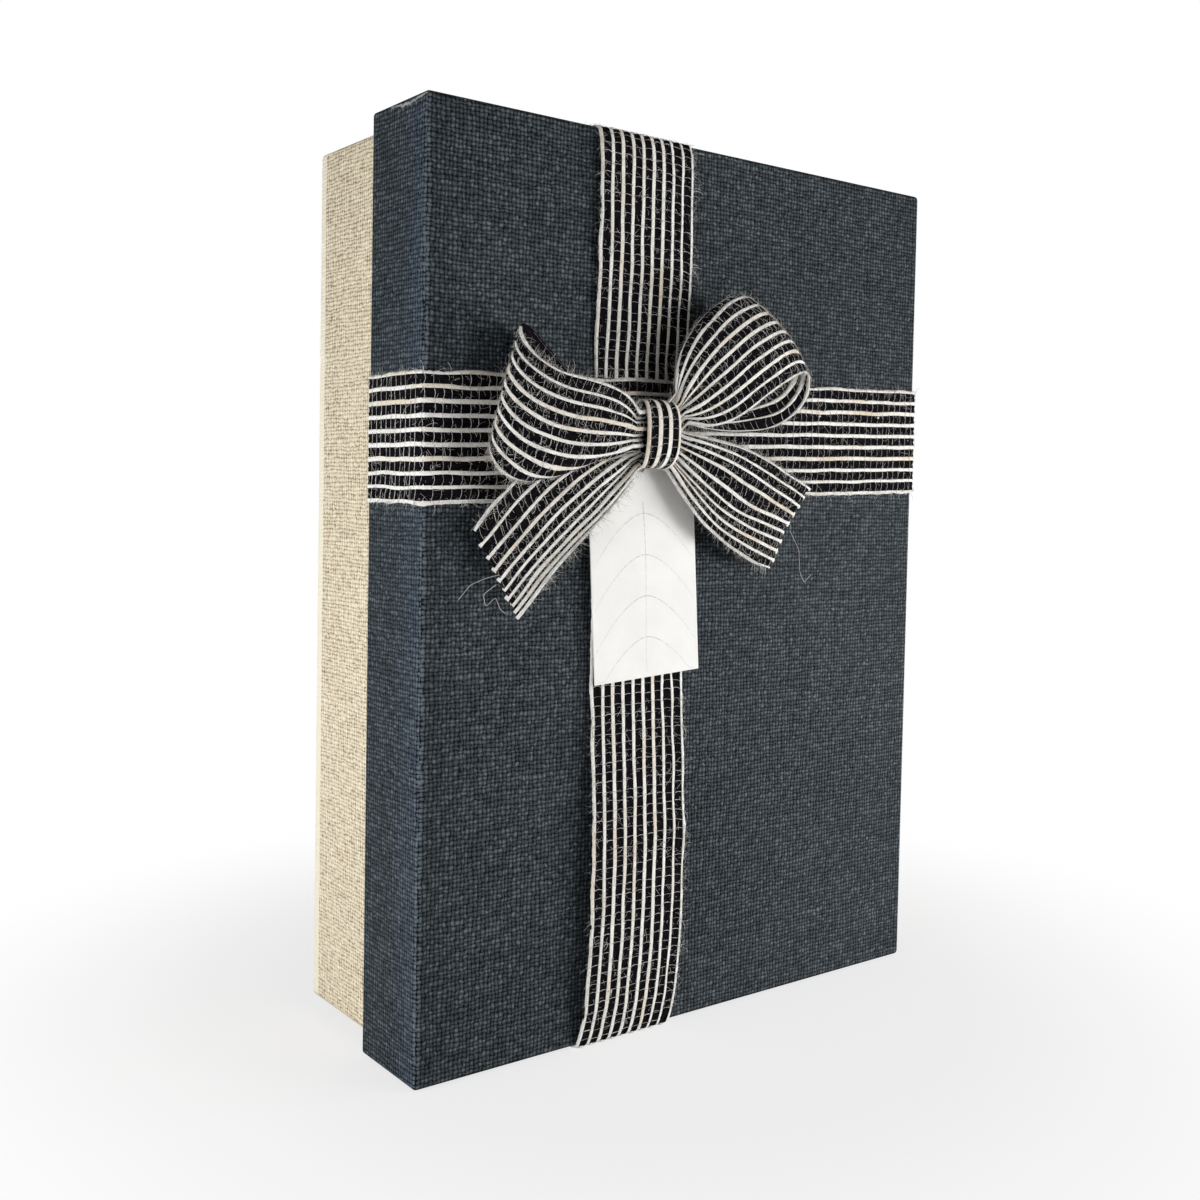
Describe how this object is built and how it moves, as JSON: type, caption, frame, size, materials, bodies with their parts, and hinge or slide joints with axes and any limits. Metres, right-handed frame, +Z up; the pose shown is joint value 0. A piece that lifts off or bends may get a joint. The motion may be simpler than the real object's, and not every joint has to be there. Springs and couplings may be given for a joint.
{
  "type": "gift box",
  "caption": "Rigid gift box standing on end: a linen-covered lid lifts off a paler base, with crossed ribbons, a tied bow and a card tag that swings on its string.",
  "frame": {"origin": "middle of the underside of the whole object's box, where the standing box's ribbon meets the table", "axes": "+Z up along the box's long side, the lid's face towards -Y, +X to the right for someone who looks at the lid"},
  "size_m": [0.2214, 0.1034, 0.3064],
  "materials": {
    "greyboard": "matte",
    "corner_tape": "matte",
    "base_cover": "matte",
    "lid_cover": "matte",
    "lining": "matte",
    "ribbon": "matte",
    "glue": "satin",
    "card": "matte",
    "string": "matte"
  },
  "bodies": {
    "base": {"base_board": "greyboard", "base_corner_stays": "corner_tape", "base_wrap": "base_cover", "base_floor_liner": "lining", "base_wall_liner": "lining"},
    "lid": {"lid_board": "greyboard", "lid_corner_stays": "corner_tape", "lid_wrap": "lid_cover", "lid_floor_liner": "lining", "ribbon_vertical": "ribbon", "ribbon_horizontal": "ribbon", "bow_glue": "glue", "bow_gather": "ribbon", "bow_knot": "ribbon", "bow_loop_left": "ribbon", "bow_loop_right": "ribbon", "bow_tail_left": "ribbon", "bow_tail_right": "ribbon"},
    "tag": {"tag_card": "card", "tag_string": "string"}
  },
  "joints": [
    {"name": "lid_pull", "type": "slide", "parent": "base", "child": "lid", "axis": [0, -1, 0], "range_m": [0, 0.15]},
    {"name": "tag_swing", "type": "hinge", "parent": "lid", "child": "tag", "pos_m": [-0.0296, -0.0352, 0.2057], "axis": [0, 1, 0], "range_deg": [-15, 15]}
  ]
}
